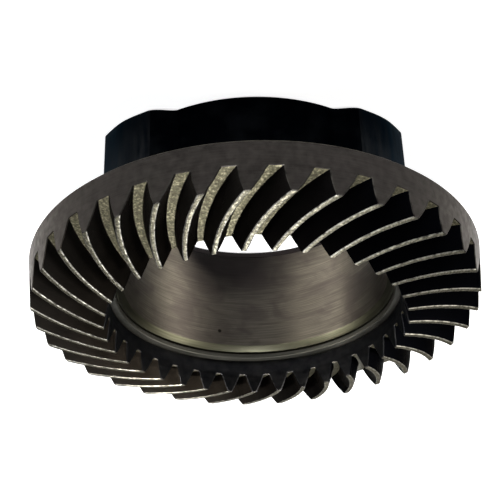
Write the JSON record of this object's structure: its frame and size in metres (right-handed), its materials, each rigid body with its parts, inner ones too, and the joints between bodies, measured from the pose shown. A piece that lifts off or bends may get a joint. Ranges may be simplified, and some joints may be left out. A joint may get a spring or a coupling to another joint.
{
  "type": "spiral bevel crown wheel",
  "caption": "Spiral bevel crown wheel with a lobed drive hub, turning on a plain sleeve in its wide through bore.",
  "frame": {"origin": "on the axis, at the flat rear face of the hub, which the part stands on", "axes": "+Z along the wheel's axis, from the hub's rear face towards the tooth tips; -Y is the side nearest the camera"},
  "size_m": [0.0774, 0.0774, 0.0288],
  "materials": {
    "gear_steel": "dark warm grey hardened steel with a fine texture, tooth lands lighter and slightly olive",
    "black_steel": "near-black oxidised steel with a faint blue sheen",
    "turned_steel": "brown-grey steel, finely turned or honed round the bore",
    "ring_steel": "plain grey ground steel"
  },
  "bodies": {
    "sleeve": {"bore_sleeve": "turned_steel"},
    "wheel": {"crown_wheel": "gear_steel", "lobed_hub": "black_steel", "thrust_ring": "ring_steel"}
  },
  "joints": [
    {"name": "wheel_spin", "type": "hinge", "parent": "sleeve", "child": "wheel", "pos_m": [0, 0, 0], "axis": [0, 0, 1], "continuous": true}
  ]
}
